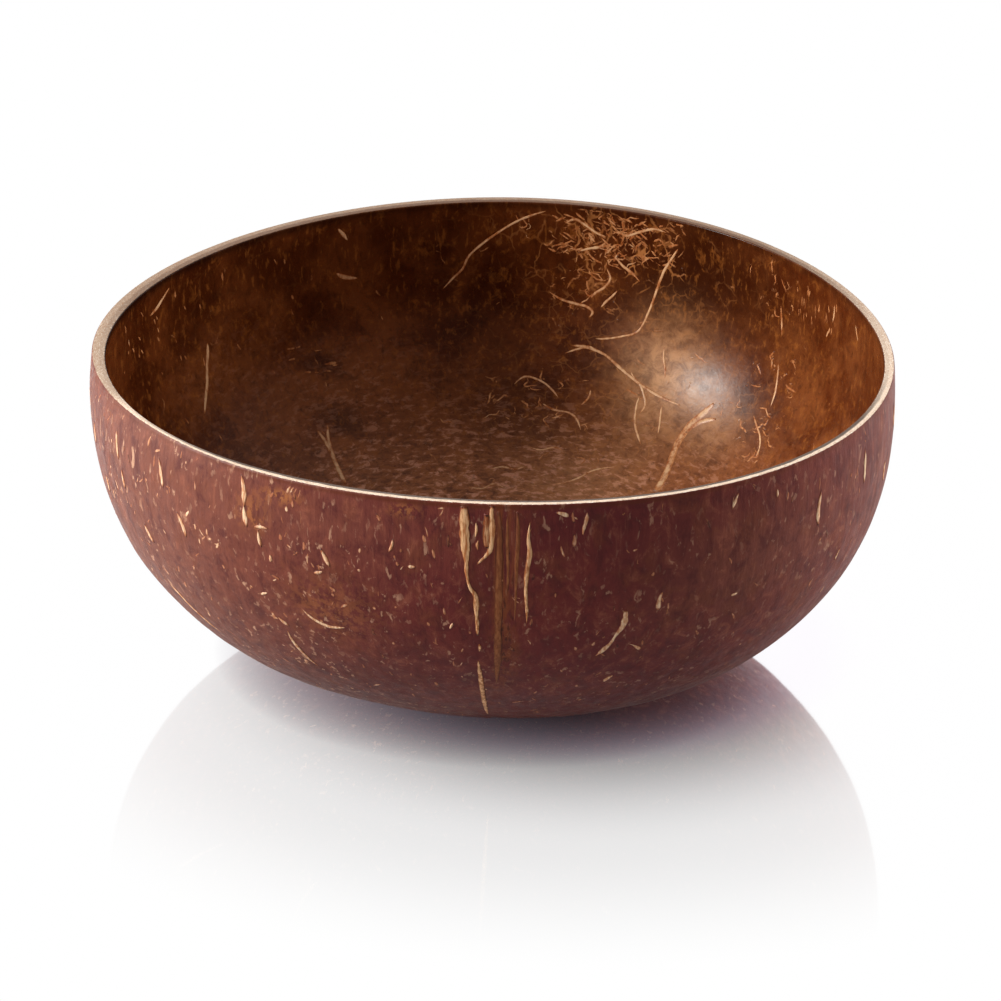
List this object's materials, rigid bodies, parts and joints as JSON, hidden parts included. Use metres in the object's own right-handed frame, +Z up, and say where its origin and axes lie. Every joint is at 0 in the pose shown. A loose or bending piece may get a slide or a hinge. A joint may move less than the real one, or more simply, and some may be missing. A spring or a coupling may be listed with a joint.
{
  "type": "coconut shell bowl",
  "caption": "Round open bowl made from half a coconut shell, with a sanded rim and foot, pale husk fibres outside and veins inside, for serving food.",
  "frame": {"origin": "middle of the foot's flat, on the surface that the bowl stands on", "axes": "+Z up, out of the bowl's mouth; -Y towards the viewer and the front seam; +X to the viewer's right"},
  "size_m": [0.1427, 0.1402, 0.0595],
  "materials": {
    "coconut_shell": "satin, sanded and oiled",
    "husk_fibre": "matte fibre",
    "food_vein": "gloss, oiled"
  },
  "bodies": {
    "root": {"shell": "coconut_shell", "front_seam_fibres": "husk_fibre", "back_left_seam_fibres": "husk_fibre", "back_right_seam_fibres": "husk_fibre", "front_husk_fibres": "husk_fibre", "left_husk_fibres": "husk_fibre", "right_husk_fibres": "husk_fibre", "back_husk_fibres": "husk_fibre", "main_vein": "food_vein", "right_veins": "food_vein", "back_veins": "food_vein", "left_veins": "food_vein", "floor_veins": "food_vein"}
  },
  "joints": []
}
